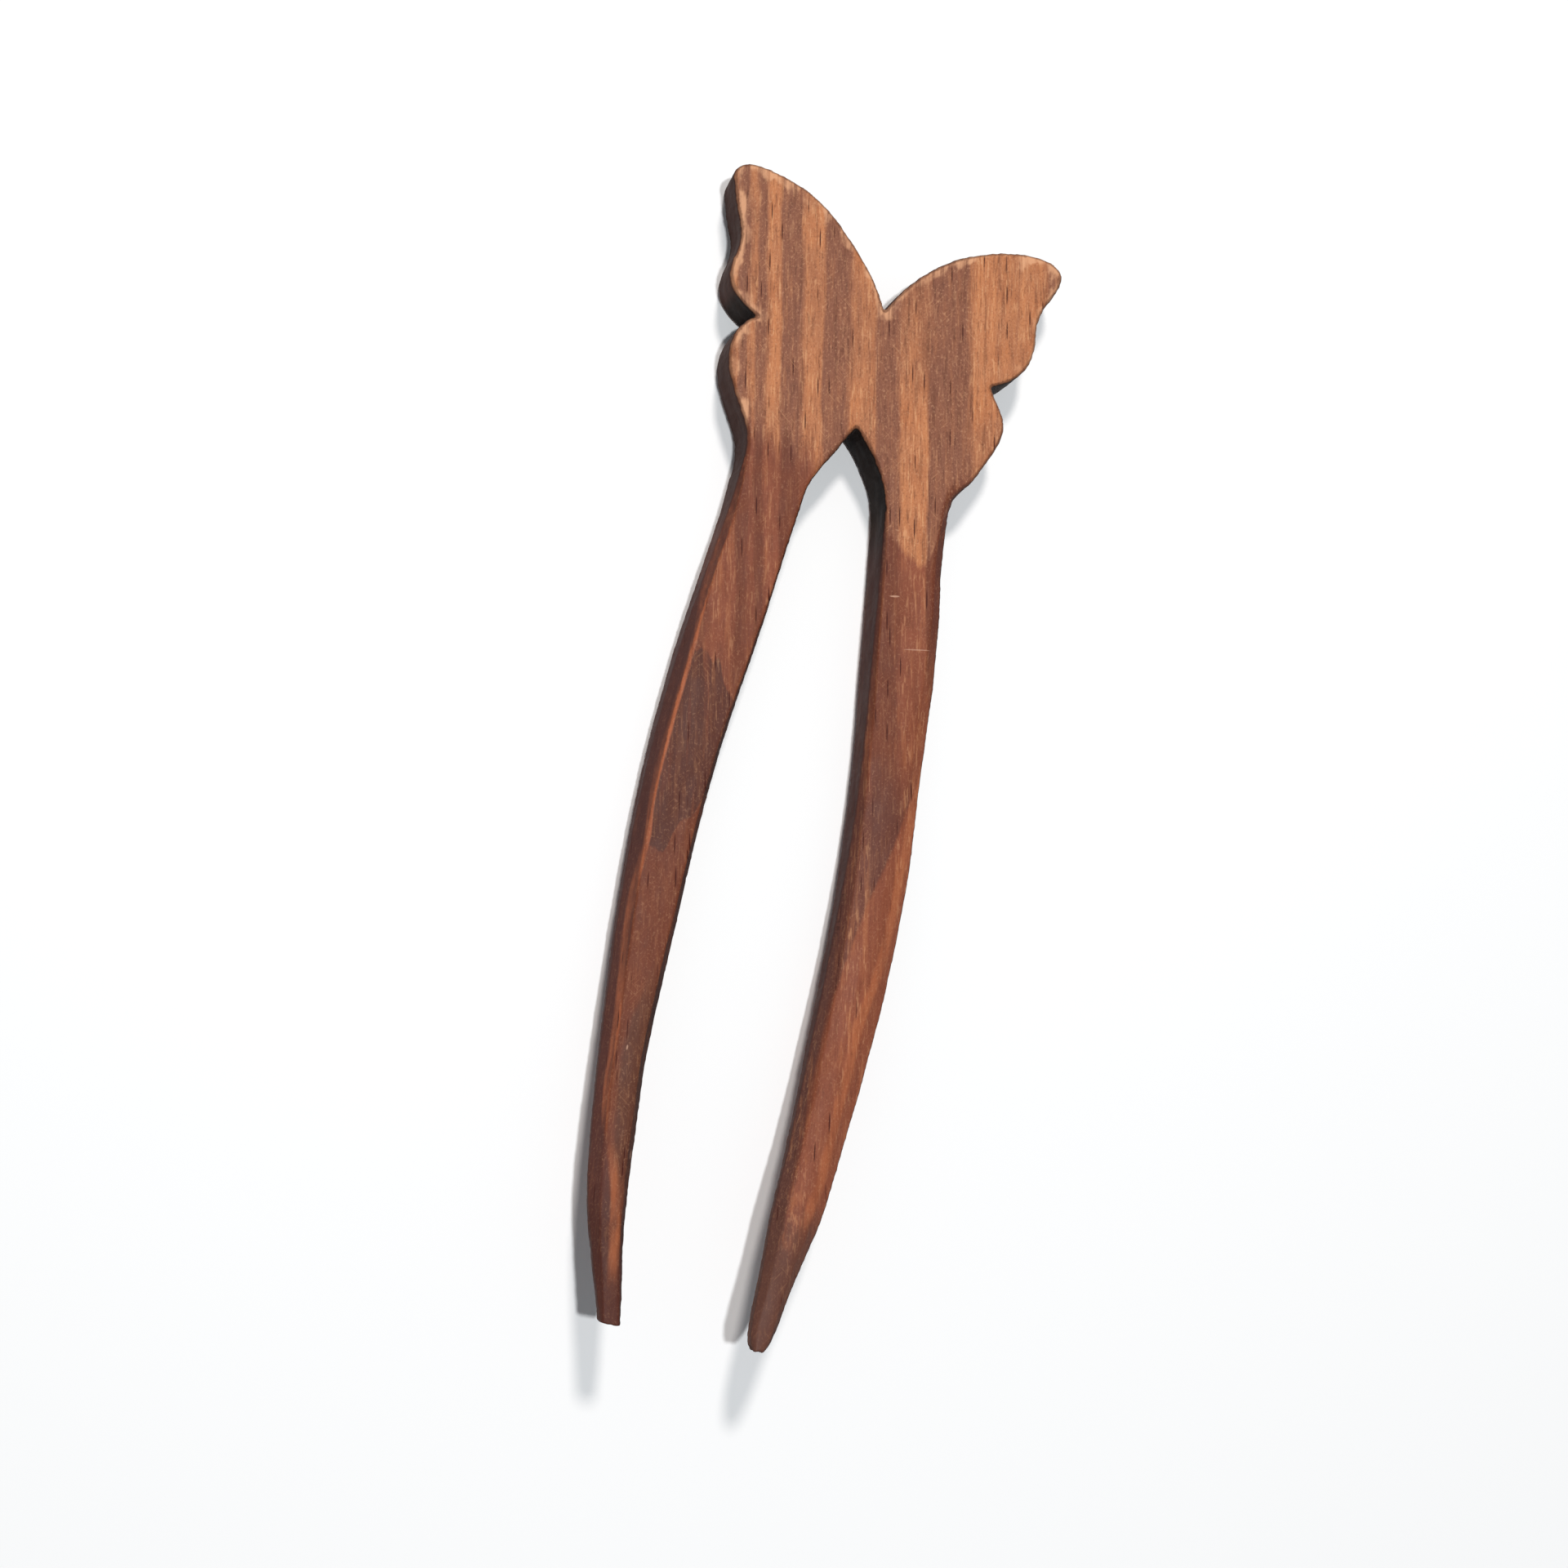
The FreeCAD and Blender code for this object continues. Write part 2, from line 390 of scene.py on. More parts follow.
class Nodes:
    """Short ways to add shader nodes. Values may be numbers or the output sockets of other nodes."""

    def __init__(self, material):
        self.tree = material.node_tree

    def add(self, kind, inputs=None, **settings):
        node = self.tree.nodes.new(kind)
        for key, value in settings.items():
            setattr(node, key, value)
        for key, value in (inputs or {}).items():
            if isinstance(value, bpy.types.NodeSocket):
                self.tree.links.new(value, node.inputs[key])
            else:
                node.inputs[key].default_value = value
        return node

    def math(self, operation, a, b=0.0, c=0.0, clamp=False):
        node = self.add("ShaderNodeMath", {0: a, 1: b, 2: c}, operation=operation, use_clamp=clamp)
        return node.outputs[0]

    def step(self, value, low, high, to_low=0.0, to_high=1.0):
        """A soft step: to_low where value is under low, to_high where it is over high."""
        settings = {"Value": value, "From Min": low, "From Max": high, "To Min": to_low, "To Max": to_high}
        return self.add("ShaderNodeMapRange", settings, interpolation_type="SMOOTHSTEP").outputs[0]

    def fall(self, value, low, high):
        """A soft step down: 1 where value is under low, 0 where it is over high."""
        return self.step(value, low, high, 1.0, 0.0)

    def mix(self, share, a, b):
        """Colour a where share is 0, and b where it is 1."""
        # A colour mix uses the Mix node's sockets 0, 6 and 7, and its output 2.
        return self.add("ShaderNodeMix", {0: share, 6: a, 7: b}, data_type="RGBA").outputs[2]

    def noise(self, vector, detail=2.0, rough=0.5):
        settings = {"Vector": vector, "Scale": 1.0, "Detail": detail, "Roughness": rough}
        return self.add("ShaderNodeTexNoise", settings).outputs[0]

    def stretch(self, vector, scale):
        return self.add("ShaderNodeVectorMath", {0: vector, 1: scale}, operation="MULTIPLY").outputs[0]

    def curve(self, value, points, low, high):
        """The curve through given points (value, result). Every result lies between low and high."""
        start, end = points[0][0], points[-1][0]
        span = {"Value": value, "From Min": start, "From Max": end}
        share = self.add("ShaderNodeMapRange", span).outputs[0]
        node = self.add("ShaderNodeFloatCurve", {"Value": share})
        line = node.mapping.curves[0]
        spots = [((a - start) / (end - start), (b - low) / (high - low)) for a, b in points]
        for spot in spots[1:-1]:
            line.points.new(*spot)
        line.points[0].location = spots[0]
        line.points[-1].location = spots[-1]
        node.mapping.update()
        back = {"Value": node.outputs[0], "To Min": low, "To Max": high}
        return self.add("ShaderNodeMapRange", back).outputs[0]


# ---------------------------------------------------------------- the wood

# The light, which decides what own colour a surface needs for its tint
LAMP_GAIN = 1.17  # how much brighter the lamps make a surface than its own colour
GLOSS_LIGHT = 0.014  # how much light the wood's faint gloss adds on top
DARKEST = 0.002  # no surface's own colour is darker than this

# Every line given below keeps within these, in mm
X_RANGE = (-30, 30)
Y_RANGE = (0, 180)

# The grain
GRAIN_LEAN = 0.19  # how far the grain leans to the left for each mm up the fork
RINGS_AT_Y = 145.0  # the height at which the ring places below are given
RING_TILT = 0.55  # how far a ring shifts across the fork for each mm of depth in the board
CANAL_CELL = (1.9, 6.5, 1.9)  # mm to a resin canal: across the grain, along it, and through the board
CANAL_HALF = (0.11, 1.5, 0.9)  # half a canal's size in mm, the same three ways

# The surface
SPECULAR = 0.16  # nearly matt
RELIEF_STRENGTH = 0.5
RELIEF_DEPTH = 0.05  # mm that one unit of relief stands up

# Each growth ring's paler band, in mm across the grain: where it starts softly and ends sharply, and then
# how pale it is at the crotch and at the wings
PALE_BANDS = [
    (-25.0, -20.6, 0.7, 0.8),
    (-19.0, -17.8, 0.6, 0.7),
    (-16.3, -13.9, 0.9, 1.1),
    (-10.6, -7.3, 0.9, 1.0),
    (-3.4, 0.8, 1.0, 0.8),
    (4.9, 9.4, 1.1, 0.45),
    (16.2, 20.2, 0.8, 1.0),
    (20.0, 29.0, 0.65, 0.65),
    (21.8, 22.8, 0.35, 0.25),
    (25.0, 28.5, 0.4, 0.4),
]

# Tints as they look under the lamps: red, green and blue from 0 to 255. A texture blends each pair.
HEAD_DARK = ((134, 86, 68), (154, 102, 80))
HEAD_PALE = ((184, 111, 70), (207, 142, 103))
PRONG_DARK = ((112, 64, 50), (130, 77, 60))
PRONG_PALE = ((142, 81, 60), (156, 93, 71))
HEAD_WALL = ((56, 37, 34), (84, 56, 50))
PRONG_WALL = (90, 59, 55)
CORNER_SHADE = (14, 13, 14)
RIGHT_SIDE_SHADE = (46, 29, 27)
SECOND_COAT = (90, 59, 53)
LEFT_INNER_SIDE = (96, 65, 55)
LEFT_OUTER_FACET_SHADE = (98, 63, 58)
LEFT_TIP = (86, 53, 47)
LEFT_ARRIS_WEAR_AND_HIGHLIGHT = (192, 112, 78)
LEFT_TIP_WEAR_AND_HIGHLIGHT = (170, 100, 68)
RIGHT_INNER_STAIN_AND_SHADE = (106, 69, 61)
RIGHT_OUTER_STAIN_AND_LIGHT = (148, 86, 65)
RIGHT_INNER_FACET_SHADE = (104, 72, 65)
RIGHT_RASPED = (44, 28, 26)
RIGHT_WEAR = (178, 106, 74)
RIGHT_ROOT_FACET = (108, 58, 46)
RIGHT_TIP = (104, 71, 62)
RESIN = (74, 38, 28)
SCRATCHED = (224, 168, 128)
NICKED = (224, 178, 152)
RUBBED_AND_HIGHLIGHT = (232, 174, 134)
ARRIS_LINE = (86, 58, 50)

# Lines on the fork, in the drawing's mm. These three are y over x: where the redder, oiled
# prongs take over from the head, and the two ends of the left prong's dark second coat of stain.
OILED_FROM = [
    (-20, 131), (-15, 131), (-12, 130), (-8, 129.8), (-5, 128.5), (5, 123), (7, 121.5), (9, 120),
    (11, 118.5), (13, 117.3), (14.3, 117.2), (15.2, 119.5), (15.7, 123), (17, 128),
]  # fmt: skip
COAT_TOP = [
    (-22, 101.5), (-18.6, 101), (-17.9, 97.5), (-15.5, 97), (-14.6, 95.8), (-13, 95.5), (-12, 93),
    (-10, 91), (-7, 89),
]  # fmt: skip
COAT_FOOT = [
    (-22, 67.5), (-17.4, 67), (-15.2, 67.3), (-14.6, 70), (-13.6, 72), (-12.4, 72.6), (-11.6, 75), (-9, 78),
]  # fmt: skip

# These run along the prongs and are x over y.
LEFT_ARRIS = [
    (0, -12.0), (6, -12.5), (12, -13.0), (20, -14.5), (27, -16.3), (34, -17.0), (41, -17.3), (48, -17.9),
    (55, -18.5), (62, -18.5), (68, -18.2), (75, -18.6), (82, -18.4), (90, -17.9), (98, -17.4),
    (105, -17.3), (115, -16.9), (128, -15.9),
]  # fmt: skip
LEFT_PALE_LINE = [
    (0, -9), (14, -12), (22, -14.0), (30, -15.3), (40, -15.6), (48, -14.2), (60, -12.4), (70, -10),
]  # fmt: skip
LEFT_TIP_STREAK = [(0, -11.0), (6, -11.5), (12, -12.1), (20, -13.7), (26, -15.2)]
RIGHT_ROOT_LINE = [
    (96, 20.5), (105, 17.9), (115, 16.3), (120, 15.8), (125, 15.3), (130, 16.0), (134, 18.5),
]  # fmt: skip
RIGHT_SHADE_LINE = [
    (0, 11.3), (10, 11.5), (25, 12.0), (35, 12.4), (45, 12.9), (60, 12.9), (70, 12.4), (85, 11.4),
    (100, 10.0), (110, 8.9), (120, 8.0),
]  # fmt: skip
RIGHT_PALE_LINE = [
    (0, 16), (14, 12.9), (30, 12.7), (45, 12.9), (50, 13.4), (57, 14.5), (66, 16.1), (75, 18.3),
    (82, 19.6), (92, 23),
]  # fmt: skip
RIGHT_STREAK = [
    (0, 9.5), (14, 12.8), (22, 15.6), (30, 16.6), (40, 17.3), (48, 17.9), (56, 19.6), (66, 20.2),
    (80, 20.3), (95, 19.5),
]  # fmt: skip

# Pale nicks on the prongs in mm: centre (x, y), reach (x, y), climb to the right, and how pale it is
PALE_NICKS = [
    ((10.8, 111.6), (0.7, 0.14), 0.2, 0.6),
    ((15.8, 104.5), (2.0, 0.10), 0.2, 0.4),
    ((-11.7, 23.3), (0.20, 0.6), 0.0, 0.75),
    ((-15.2, 38.0), (0.12, 0.35), 0.0, 0.5),
]


def shade(tint):
    """The surface's own colour, for a shader, that looks like the tint under the lamps."""
    shown = [((channel / 255 + 0.055) / 1.055) ** 2.4 for channel in tint]
    return (*[max((light - GLOSS_LIGHT) / LAMP_GAIN, DARKEST) for light in shown], 1.0)


class Wood:
    """The coordinates and textures that every layer of the wood's colour is worked out from."""

    def __init__(self, nodes):
        self.nodes = nodes
        on_piece = nodes.add("ShaderNodeTexCoord").outputs
        place = {0: on_piece["Object"], 1: DRAWING_ORIGIN}
        moved = nodes.add("ShaderNodeVectorMath", place, operation="SUBTRACT").outputs[0]
        self.drawn = nodes.stretch(moved, (1 / MM,) * 3)
        parts = nodes.add("ShaderNodeSeparateXYZ", {0: self.drawn}).outputs
        self.x, self.y, z = parts[0], parts[1], parts[2]
        up = nodes.math("SUBTRACT", self.y, RINGS_AT_Y)
        across = nodes.math("MULTIPLY_ADD", up, GRAIN_LEAN, self.x)
        depth = nodes.math("SUBTRACT", BOARD, z)
        self.across_rings = nodes.math("MULTIPLY_ADD", depth, -RING_TILT, across)
        self.grain = nodes.add("ShaderNodeCombineXYZ", {0: self.across_rings, 1: up, 2: z}).outputs[0]
        # Textures in the grain's frame: mm to a repeat, across the grain and along it
        self.thread = self.along_grain(0.32, 3.2)
        self.fibre = self.along_grain(0.8, 10.0)
        self.streak = self.along_grain(1.7, 26.0)
        self.wander = self.along_grain(7.0, 24.0)
        # Textures in the drawing's frame: repeats to a mm along x, y and z
        self.blotch = nodes.noise(nodes.stretch(self.drawn, (0.09, 0.06, 0.09)), 3.0)
        self.cloud = nodes.noise(nodes.stretch(self.drawn, (0.35, 0.22, 0.35)), 3.0)
        self.speck = nodes.noise(nodes.stretch(self.drawn, (3.2, 2.4, 3.2)), 2.0, 0.7)
        facing = nodes.add("ShaderNodeSeparateXYZ", {0: on_piece["Normal"]}).outputs
        self.facing_right, facing_up = facing[0], facing[2]
        self.wall = nodes.fall(nodes.math("ABSOLUTE", facing_up), 0.30, 0.82)
        self.not_back = nodes.step(facing_up, -0.6, -0.1)

    def along_grain(self, across, along):
        """Noise drawn out along the grain, given the mm to a repeat both ways."""
        drawn_out = self.nodes.stretch(self.grain, (1 / across, 1 / along, 1 / across))
        return self.nodes.noise(drawn_out, 2.0, 0.6)

    def ragged(self, value, fray):
        """A coordinate frayed by the fibres, so that an edge drawn with it follows the grain."""
        frayed = self.nodes.math("MULTIPLY_ADD", self.fibre, 2 * fray, value)
        return self.nodes.math("SUBTRACT", frayed, fray)

    def right_of(self, line, soft, fray=0.3):
        """1 to the right of a line given as x over y."""
        x = self.ragged(self.x, fray)
        offset = self.nodes.math("SUBTRACT", x, self.nodes.curve(self.y, line, *X_RANGE))
        return self.nodes.step(offset, -soft, soft)

    def above(self, line, soft, fray=1.0):
        """1 above a line given as y over x."""
        y = self.ragged(self.y, fray)
        offset = self.nodes.math("SUBTRACT", y, self.nodes.curve(self.x, line, *Y_RANGE))
        return self.nodes.step(offset, -soft, soft)

    def near(self, line, width, strength, fray=0.25):
        """A streak that follows a line given as x over y, broken up by the fibres."""
        nodes = self.nodes
        x = self.ragged(self.x, fray)
        offset = nodes.math("SUBTRACT", x, nodes.curve(self.y, line, *X_RANGE))
        close = nodes.fall(nodes.math("ABSOLUTE", offset), width * 0.35, width)
        broken = nodes.step(self.streak, 0.30, 0.56, 0.35, 1.0)
        return nodes.math("MULTIPLY", nodes.math("MULTIPLY", close, broken), strength)

    def between_y(self, low, high, soft):
        """1 between two heights up the fork."""
        rise = self.nodes.step(self.y, low - soft, low + soft)
        fall = self.nodes.fall(self.y, high - soft, high + soft)
        return self.nodes.math("MULTIPLY", rise, fall)

    def overlap(self, *masks):
        """1 only where every mask is 1."""
        total = masks[0]
        for mask in masks[1:]:
            total = self.nodes.math("MULTIPLY", total, mask)
        return total

    def all_but(self, mask):
        return self.nodes.math("SUBTRACT", 1.0, mask)

    def blend(self, texture, pair):
        """A pair of tints, blended by a texture."""
        first, second = pair
        return self.nodes.mix(texture, shade(first), shade(second))

    def stain(self, colour, mask, tint, strength=1.0):
        """The colour with a tint laid over it where the mask is."""
        return self.nodes.mix(self.nodes.math("MULTIPLY", mask, strength), colour, shade(tint))


def growth_rings(wood):
    """How pale the wood is at each ring, from 0 to about 1."""
    nodes = wood.nodes
    ring = wood.across_rings
    for texture, sway in ((wood.wander, 2.2), (wood.streak, 0.9), (wood.fibre, 1.0)):
        centred = nodes.math("SUBTRACT", texture, 0.5)
        ring = nodes.math("MULTIPLY_ADD", centred, sway, ring)
    pale = 0.0
    for start, end, at_crotch, at_wings in PALE_BANDS:
        rise = nodes.step(ring, start - 0.6, start + 0.9)
        fall = nodes.fall(ring, end - 0.25, end + 0.35)
        strength = nodes.step(wood.y, 134.0, 152.0, at_crotch, at_wings)
        pale = nodes.math("MULTIPLY_ADD", nodes.math("MULTIPLY", rise, fall), strength, pale)
    return nodes.math("MULTIPLY", pale, nodes.step(wood.blotch, 0.38, 0.60, 0.62, 1.1))


def resin_canals(wood):
    """1 inside the short dark dashes along the grain. Each lies at its own place in a stretched cell."""
    nodes = wood.nodes
    spots = nodes.stretch(wood.grain, tuple(1 / size for size in CANAL_CELL))
    settings = {"Vector": spots, "Scale": 1.0, "Randomness": 1.0}
    cells = nodes.add("ShaderNodeTexVoronoi", settings, voronoi_dimensions="3D")
    ends = {0: spots, 1: cells.outputs["Position"]}
    away = nodes.add("ShaderNodeVectorMath", ends, operation="SUBTRACT").outputs[0]
    scaled = nodes.stretch(away, tuple(size / half for size, half in zip(CANAL_CELL, CANAL_HALF)))
    length = nodes.add("ShaderNodeVectorMath", {0: scaled}, operation="LENGTH").outputs["Value"]
    chance = nodes.add("ShaderNodeSeparateColor", {0: cells.outputs["Color"]}).outputs[0]
    inside = nodes.fall(length, 0.6, 1.25)
    return nodes.math("MULTIPLY", inside, nodes.step(chance, 0.52, 0.62))


def bare_wood(wood, pale):
    """The head's greyer, matt wood and the prongs' redder, oiled wood, with their rings."""
    nodes = wood.nodes
    head_dark = wood.blend(wood.cloud, HEAD_DARK)
    head_pale = wood.blend(wood.cloud, HEAD_PALE)
    head = nodes.mix(pale, head_dark, head_pale)
    prong_dark = wood.blend(wood.cloud, PRONG_DARK)
    prong_pale = wood.blend(wood.cloud, PRONG_PALE)
    prong = nodes.mix(pale, prong_dark, prong_pale)
    # The oil ends sharply on the right prong and in long rags on the left one.
    on_right = nodes.math("MULTIPLY", wood.above(OILED_FROM, 0.7, 1.4), nodes.step(wood.x, -1.0, 1.0))
    on_left = nodes.math("MULTIPLY", wood.above(OILED_FROM, 3.0, 2.2), nodes.fall(wood.x, -1.0, 1.0))
    on_head = nodes.math("ADD", on_right, on_left)
    return nodes.mix(on_head, prong, head), on_head


def left_prong_marks(wood, colour):
    """The second coat, the darker inner side and tip, a painted shade on the outer facet, and the worn,
    paler arris and tip streak, each with a painted highlight along it.
    """
    nodes = wood.nodes
    here = wood.overlap(nodes.fall(wood.x, -3.0, -2.0), wood.not_back)
    below_top = wood.all_but(wood.above(COAT_TOP, 0.25, 0.9))
    coat = wood.overlap(here, below_top, wood.above(COAT_FOOT, 0.25, 0.9))
    gaps = nodes.step(wood.streak, 0.56, 0.66, 1.0, 0.5)
    colour = wood.stain(colour, wood.overlap(coat, gaps), SECOND_COAT, 0.8)
    inner_side = wood.overlap(here, wood.between_y(18, 48, 7), wood.right_of(LEFT_PALE_LINE, 0.5))
    colour = wood.stain(colour, inner_side, LEFT_INNER_SIDE, 0.75)
    # Painted shade: the outer facet, which faces away from the light, is painted darker
    past_arris = wood.all_but(wood.right_of(LEFT_ARRIS, 0.4))
    outer_facet_shade = wood.overlap(here, past_arris, wood.between_y(-5, 118, 9))
    colour = wood.stain(colour, outer_facet_shade, LEFT_OUTER_FACET_SHADE, 0.85)
    tip = nodes.fall(nodes.math("MULTIPLY_ADD", wood.fibre, 8.0, wood.y), 15.0, 26.0)
    colour = wood.stain(colour, wood.overlap(here, tip), LEFT_TIP, 0.9)
    # Worn, paler arris streak, with a painted highlight where the ridge catches the light
    streak = wood.overlap(here, wood.between_y(28, 126, 4), wood.near(LEFT_ARRIS, 0.55, 0.85))
    colour = wood.stain(colour, streak, LEFT_ARRIS_WEAR_AND_HIGHLIGHT)
    # Worn, paler streak near the tip, with a painted highlight along the arris
    streak = wood.overlap(here, wood.between_y(7, 22, 3), wood.near(LEFT_TIP_STREAK, 1.0, 0.8))
    return wood.stain(colour, streak, LEFT_TIP_WEAR_AND_HIGHLIGHT)


def right_prong_marks(wood, colour):
    """The darker inner side and paler outer side, stain that also paints shade and light across the crowned
    top; the inner facet, a painted shade, with its rasp strokes; the worn streak, root facet and tip.
    """
    nodes = wood.nodes
    here = wood.overlap(nodes.step(wood.x, 2.0, 3.0), wood.not_back)
    # Stain with painted shade and light: the crowned top's left slope is painted darker and its right slope
    # paler, as if lit
    pale_side = wood.right_of(RIGHT_PALE_LINE, 0.35)
    darker = wood.overlap(here, wood.all_but(pale_side), wood.between_y(22, 84, 6))
    colour = wood.stain(colour, darker, RIGHT_INNER_STAIN_AND_SHADE, 0.7)
    paler = wood.overlap(here, pale_side, wood.between_y(18, 95, 4))
    colour = wood.stain(colour, paler, RIGHT_OUTER_STAIN_AND_LIGHT, 0.75)
    # Painted shade: the inner facet, which slopes away from the light, is painted darker
    past_shade_line = wood.all_but(wood.right_of(RIGHT_SHADE_LINE, 0.45))
    inner_facet_shade = wood.overlap(here, past_shade_line, wood.between_y(-5, 121, 2))
    colour = wood.stain(colour, inner_facet_shade, RIGHT_INNER_FACET_SHADE, 0.88)
    rasped_part = wood.between_y(58, 94, 6)
    rasped = wood.overlap(inner_facet_shade, rasped_part, nodes.step(rasp_strokes(wood), 0.52, 0.62))
    colour = wood.stain(colour, rasped, RIGHT_RASPED, 0.6)
    streak = wood.overlap(here, wood.between_y(15, 84, 6), wood.near(RIGHT_STREAK, 1.1, 0.8, 0.5))
    colour = wood.stain(colour, streak, RIGHT_WEAR)
    root_facet = wood.overlap(here, wood.right_of(RIGHT_ROOT_LINE, 0.4), wood.between_y(106, 131, 3))
    colour = wood.stain(colour, root_facet, RIGHT_ROOT_FACET, 0.8)
    tip = nodes.fall(nodes.math("MULTIPLY_ADD", wood.fibre, 12.0, wood.y), 17.0, 30.0)
    return wood.stain(colour, wood.overlap(here, tip), RIGHT_TIP, 0.93)


def rasp_strokes(wood):
    """Short strokes across the fork, left by the rasp."""
    return wood.nodes.noise(wood.nodes.stretch(wood.drawn, (0.9, 2.4, 0.9)), 1.0)


def fibres(wood, colour, canals, pale, on_head):
    """The grain's fine texture: pale fibres in the pale rings, dark ones all over, specks and canals."""
    nodes = wood.nodes
    less_on_prongs = nodes.step(on_head, 0.0, 1.0, 0.5, 1.0)
    less_at_tips = nodes.step(wood.y, 5.0, 25.0, 0.4, 1.0)
    lively = nodes.math("MULTIPLY", less_on_prongs, less_at_tips)
    bright = nodes.math("MULTIPLY", nodes.math("MULTIPLY_ADD", pale, 0.7, 0.3, clamp=True), lively)
    # Texture, the values where a layer starts and is full, mask, tint and strength
    layers = (
        (wood.fibre, 0.50, 0.66, bright, (214, 140, 92), 0.42),
        (wood.fibre, 0.46, 0.32, lively, (98, 58, 44), 0.34),
        (wood.thread, 0.44, 0.30, lively, (84, 50, 40), 0.42),
        (wood.thread, 0.56, 0.68, bright, (232, 172, 126), 0.60),
        (wood.speck, 0.55, 0.70, lively, (226, 172, 134), 0.32),
        (wood.speck, 0.45, 0.30, lively, (84, 52, 44), 0.34),
    )
    for texture, start, full, where, tint, strength in layers:
        mask = nodes.math("MULTIPLY", nodes.step(texture, start, full), where)
        colour = wood.stain(colour, mask, tint, strength)
    return wood.stain(colour, canals, RESIN, 0.9)


def pale_nicks(wood, colour):
    """The small nicks where bare wood shows."""
    nodes = wood.nodes
    for centre, size, climb, paleness in PALE_NICKS:
        across = nodes.math("SUBTRACT", wood.x, centre[0])
        up = nodes.math("MULTIPLY_ADD", across, -climb, nodes.math("SUBTRACT", wood.y, centre[1]))
        flat = nodes.add("ShaderNodeCombineXYZ", {0: across, 1: up}).outputs[0]
        scaled = nodes.stretch(flat, (1 / size[0], 1 / size[1], 0.0))
        distance = nodes.add("ShaderNodeVectorMath", {0: scaled}, operation="LENGTH").outputs["Value"]
        inside = wood.overlap(nodes.fall(distance, 0.7, 1.3), wood.not_back, wood.all_but(wood.wall))
        colour = wood.stain(colour, inside, NICKED, paleness)
    return colour


def scratches(wood, angle, shift):
    """Fine straight sanding scratches at an angle to the fork, in degrees."""
    nodes = wood.nodes
    turn = {"Vector": wood.drawn, "Angle": math.radians(angle)}
    turned = nodes.add("ShaderNodeVectorRotate", turn, rotation_type="Z_AXIS").outputs[0]
    move = {0: turned, 1: (shift, shift, 0.0)}
    moved = nodes.add("ShaderNodeVectorMath", move, operation="ADD").outputs[0]
    lines = nodes.noise(nodes.stretch(moved, (0.28, 5.5, 0.3)), 1.0)
    return nodes.step(lines, 0.62, 0.74)


def worn_and_highlit_edges(wood, colour):
    """Paler wood where the head's arrises are rubbed, which also paints a highlight where the upper and
    left edges catch the light, and a dark line on the arris itself.
    """
    nodes = wood.nodes
    edge = nodes.add("ShaderNodeAttribute", attribute_name="arris_mm").outputs["Fac"]
    on_head = nodes.step(wood.y, 126.0, 132.0)
    upper_wings = nodes.step(wood.y, 149.0, 154.0)
    # Worn edges with a painted highlight: the arrises of the upper wings and the left side are painted
    # paler where they catch the light
    worn_and_lit_part = nodes.math("MAXIMUM", upper_wings, nodes.fall(wood.x, -17.0, -15.0))
    wear = nodes.math("MULTIPLY_ADD", wood.cloud, 7.0, -2.7)
    past_wear = nodes.math("SUBTRACT", edge, wear)
    rubbed = nodes.math("MULTIPLY", nodes.fall(past_wear, -0.5, 0.5), on_head)
    grained = nodes.step(wood.fibre, 0.36, 0.60, 0.25, 1.0)
    rubbed = wood.overlap(rubbed, worn_and_lit_part, grained, wood.all_but(wood.wall))
    colour = wood.stain(colour, rubbed, RUBBED_AND_HIGHLIGHT, 0.8)
    line = nodes.fall(edge, 0.05, 0.30)
    return wood.stain(colour, nodes.math("MULTIPLY", line, on_head), ARRIS_LINE, 0.55)


def dark_walls(wood, colour, on_head):
    """The sawn walls, which took more stain, lighter down the prongs. Painted shade makes them nearly
    black in the crotch and the wings' nicks, and dark again where a prong faces right.
    """
    nodes = wood.nodes
    tint = wood.blend(wood.fibre, HEAD_WALL)
    crotch_height = wood.between_y(118, 137, 2.5)
    crotch = wood.overlap(crotch_height, nodes.fall(nodes.math("ABSOLUTE", wood.x), 9.0, 10.5))
    nick_height = wood.between_y(146.3, 150.5, 0.8)
    nick = wood.overlap(nick_height, nodes.step(nodes.math("ABSOLUTE", wood.x), 17.0, 18.0))
    # Painted shade: the walls in the crotch and the wings' nicks are painted nearly black
    corner_shade = nodes.math("MAXIMUM", crotch, nick)
    tint = nodes.mix(nodes.math("MULTIPLY", corner_shade, 0.9), tint, shade(CORNER_SHADE))
    tint = nodes.mix(nodes.fall(wood.y, 112.0, 126.0), tint, shade(PRONG_WALL))
    at_root = nodes.step(wood.y, 112.0, 126.0, 0.85, 0.97)
    at_tip = nodes.step(wood.y, 0.0, 45.0, 0.15, 1.0)
    strength = nodes.math("MULTIPLY", at_root, at_tip)
    colour = nodes.mix(nodes.math("MULTIPLY", wood.wall, strength), colour, tint)
    # Painted shade: prong sides that face right are painted dark, as sides in shadow
    right_side_shade = wood.overlap(nodes.step(wood.facing_right, 0.60, 0.90), wood.all_but(on_head))
    return wood.stain(colour, right_side_shade, RIGHT_SIDE_SHADE, 0.8)


def wood_roughness(wood, rubbing):
    """Uneven all over, and rougher in the scratches and on the sawn walls."""
    nodes = wood.nodes
    roughness = nodes.step(wood.cloud, 0.3, 0.7, 0.50, 0.62)
    roughness = nodes.math("MULTIPLY_ADD", rubbing, 0.06, roughness)
    return nodes.math("MULTIPLY_ADD", wood.wall, 0.2, roughness)


